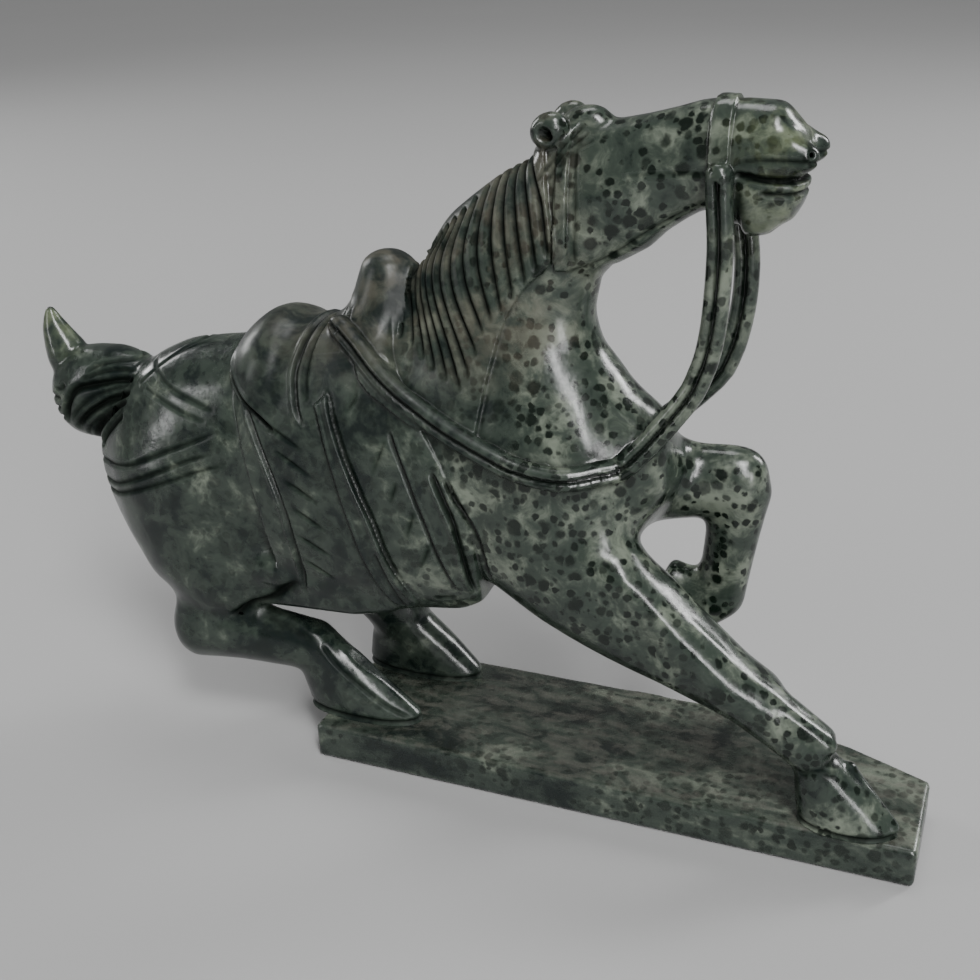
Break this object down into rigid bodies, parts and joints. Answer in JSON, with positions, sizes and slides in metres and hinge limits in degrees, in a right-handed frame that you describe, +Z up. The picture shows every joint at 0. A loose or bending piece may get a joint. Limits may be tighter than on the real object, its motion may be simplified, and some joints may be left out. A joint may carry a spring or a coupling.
{
  "type": "carved jade horse figurine",
  "caption": "Galloping horse figurine carved from speckled green stone on a flat plinth, with saddle, cloth, reins, combed mane and knotted tail.",
  "frame": {"origin": "centre of the plinth's underside", "axes": "+X towards the horse's head, +Y towards the horse's left side, +Z up"},
  "size_m": [0.3597, 0.0748, 0.2572],
  "materials": {
    "light_serpentine": "polished, pale grey-green with near-black green spots",
    "dark_serpentine": "polished, dark cloudy green with soft spots",
    "plinth_stone": "polished, mid grey-green with streaks along its length and round dark spots"
  },
  "bodies": {
    "root": {"plinth": "plinth_stone", "rump": "dark_serpentine", "barrel": "dark_serpentine", "chest": "light_serpentine", "neck": "light_serpentine", "head": "light_serpentine", "lower_jaw": "light_serpentine", "muzzle": "light_serpentine", "noseband": "light_serpentine", "ear_right": "light_serpentine", "ear_left": "light_serpentine", "forelock": "light_serpentine", "throat_latch_right": "light_serpentine", "throat_latch_left": "light_serpentine", "saddle_pommel": "dark_serpentine", "mane_right": "dark_serpentine", "mane_left": "dark_serpentine", "saddle_cloth_right": "dark_serpentine", "saddle_cloth_left": "dark_serpentine", "saddle_cantle": "dark_serpentine", "saddle_seat": "dark_serpentine", "girth_strap_right": "dark_serpentine", "girth_strap_left": "dark_serpentine", "rein_loose_right": "light_serpentine", "rein_loose_left": "light_serpentine", "rein_shoulder_right": "light_serpentine", "rein_shoulder_left": "light_serpentine", "tail_knot": "dark_serpentine", "tail_tuft": "light_serpentine", "foreleg_upper_right": "light_serpentine", "foreleg_cannon_right": "light_serpentine", "fore_hoof_right": "light_serpentine", "foreleg_upper_left": "light_serpentine", "foreleg_cannon_left": "light_serpentine", "fore_hoof_left": "light_serpentine", "hindleg_thigh_right": "dark_serpentine", "hindleg_cannon_right": "dark_serpentine", "hind_hoof_right": "dark_serpentine", "hindleg_thigh_left": "dark_serpentine", "hindleg_cannon_left": "dark_serpentine", "hind_hoof_left": "dark_serpentine"}
  },
  "joints": []
}
